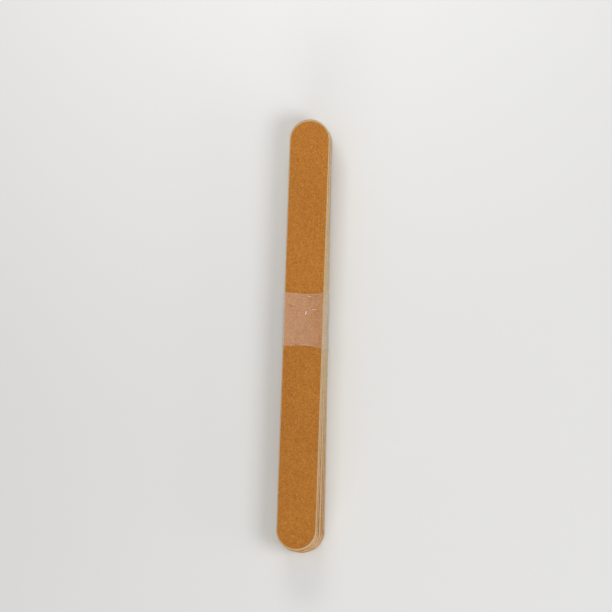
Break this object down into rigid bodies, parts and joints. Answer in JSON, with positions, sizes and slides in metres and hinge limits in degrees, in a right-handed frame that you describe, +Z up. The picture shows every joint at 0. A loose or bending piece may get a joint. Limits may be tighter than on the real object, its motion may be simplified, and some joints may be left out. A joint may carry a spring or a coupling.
{
  "type": "emery board",
  "caption": "Bundle of flat round-ended emery boards, card faced with coarse and fine abrasive paper, held by a clear film band that each board slides out of.",
  "frame": {"origin": "on the surface the bundle lies on, under the middle of the boards", "axes": "+Y along the boards towards the end that the band is nearer to, +Z up through the stack, coarse faces up, +X to the right of someone looking down on it"},
  "size_m": [0.0116, 0.1148, 0.0099],
  "materials": {
    "core_card": "cut edge, matte",
    "coarse_grit": "coarse abrasive grains in resin, matte with tiny glints",
    "fine_grit": "fine abrasive grains in resin, matte",
    "clear_film": "clear shrink film with a faint haze"
  },
  "bodies": {
    "band": {"band": "clear_film"},
    "board_01": {"board_01_core": "core_card", "board_01_coarse_sheet": "coarse_grit", "board_01_fine_sheet": "fine_grit"},
    "board_02": {"board_02_core": "core_card", "board_02_coarse_sheet": "coarse_grit", "board_02_fine_sheet": "fine_grit"},
    "board_03": {"board_03_core": "core_card", "board_03_coarse_sheet": "coarse_grit", "board_03_fine_sheet": "fine_grit"},
    "board_04": {"board_04_core": "core_card", "board_04_coarse_sheet": "coarse_grit", "board_04_fine_sheet": "fine_grit"},
    "board_05": {"board_05_core": "core_card", "board_05_coarse_sheet": "coarse_grit", "board_05_fine_sheet": "fine_grit"},
    "board_06": {"board_06_core": "core_card", "board_06_coarse_sheet": "coarse_grit", "board_06_fine_sheet": "fine_grit"},
    "board_07": {"board_07_core": "core_card", "board_07_coarse_sheet": "coarse_grit", "board_07_fine_sheet": "fine_grit"},
    "board_08": {"board_08_core": "core_card", "board_08_coarse_sheet": "coarse_grit", "board_08_fine_sheet": "fine_grit"},
    "board_09": {"board_09_core": "core_card", "board_09_coarse_sheet": "coarse_grit", "board_09_fine_sheet": "fine_grit"},
    "board_10": {"board_10_core": "core_card", "board_10_coarse_sheet": "coarse_grit", "board_10_fine_sheet": "fine_grit"}
  },
  "joints": [
    {"name": "board_01_slide", "type": "slide", "parent": "band", "child": "board_01", "axis": [-0.0082, 1, 0], "range_m": [-0.05873, 0.06627]},
    {"name": "board_02_slide", "type": "slide", "parent": "band", "child": "board_02", "axis": [-0.0065, 1, 0], "range_m": [-0.05873, 0.06627]},
    {"name": "board_03_slide", "type": "slide", "parent": "band", "child": "board_03", "axis": [-0.0021, 1, 0], "range_m": [-0.05845, 0.06655]},
    {"name": "board_04_slide", "type": "slide", "parent": "band", "child": "board_04", "axis": [-0.0046, 1, 0], "range_m": [-0.05886, 0.06614]},
    {"name": "board_05_slide", "type": "slide", "parent": "band", "child": "board_05", "axis": [0.0004, 1, 0], "range_m": [-0.05853, 0.06647]},
    {"name": "board_06_slide", "type": "slide", "parent": "band", "child": "board_06", "axis": [0.0012, 1, 0], "range_m": [-0.05861, 0.06639]},
    {"name": "board_07_slide", "type": "slide", "parent": "band", "child": "board_07", "axis": [0.0006, 1, 0], "range_m": [-0.05882, 0.06618]},
    {"name": "board_08_slide", "type": "slide", "parent": "band", "child": "board_08", "axis": [0.0063, 1, 0], "range_m": [-0.05843, 0.06657]},
    {"name": "board_09_slide", "type": "slide", "parent": "band", "child": "board_09", "axis": [0.0042, 1, 0], "range_m": [-0.0588, 0.0662]},
    {"name": "board_10_slide", "type": "slide", "parent": "band", "child": "board_10", "axis": [0.0073, 1, 0], "range_m": [-0.05865, 0.06635]}
  ]
}
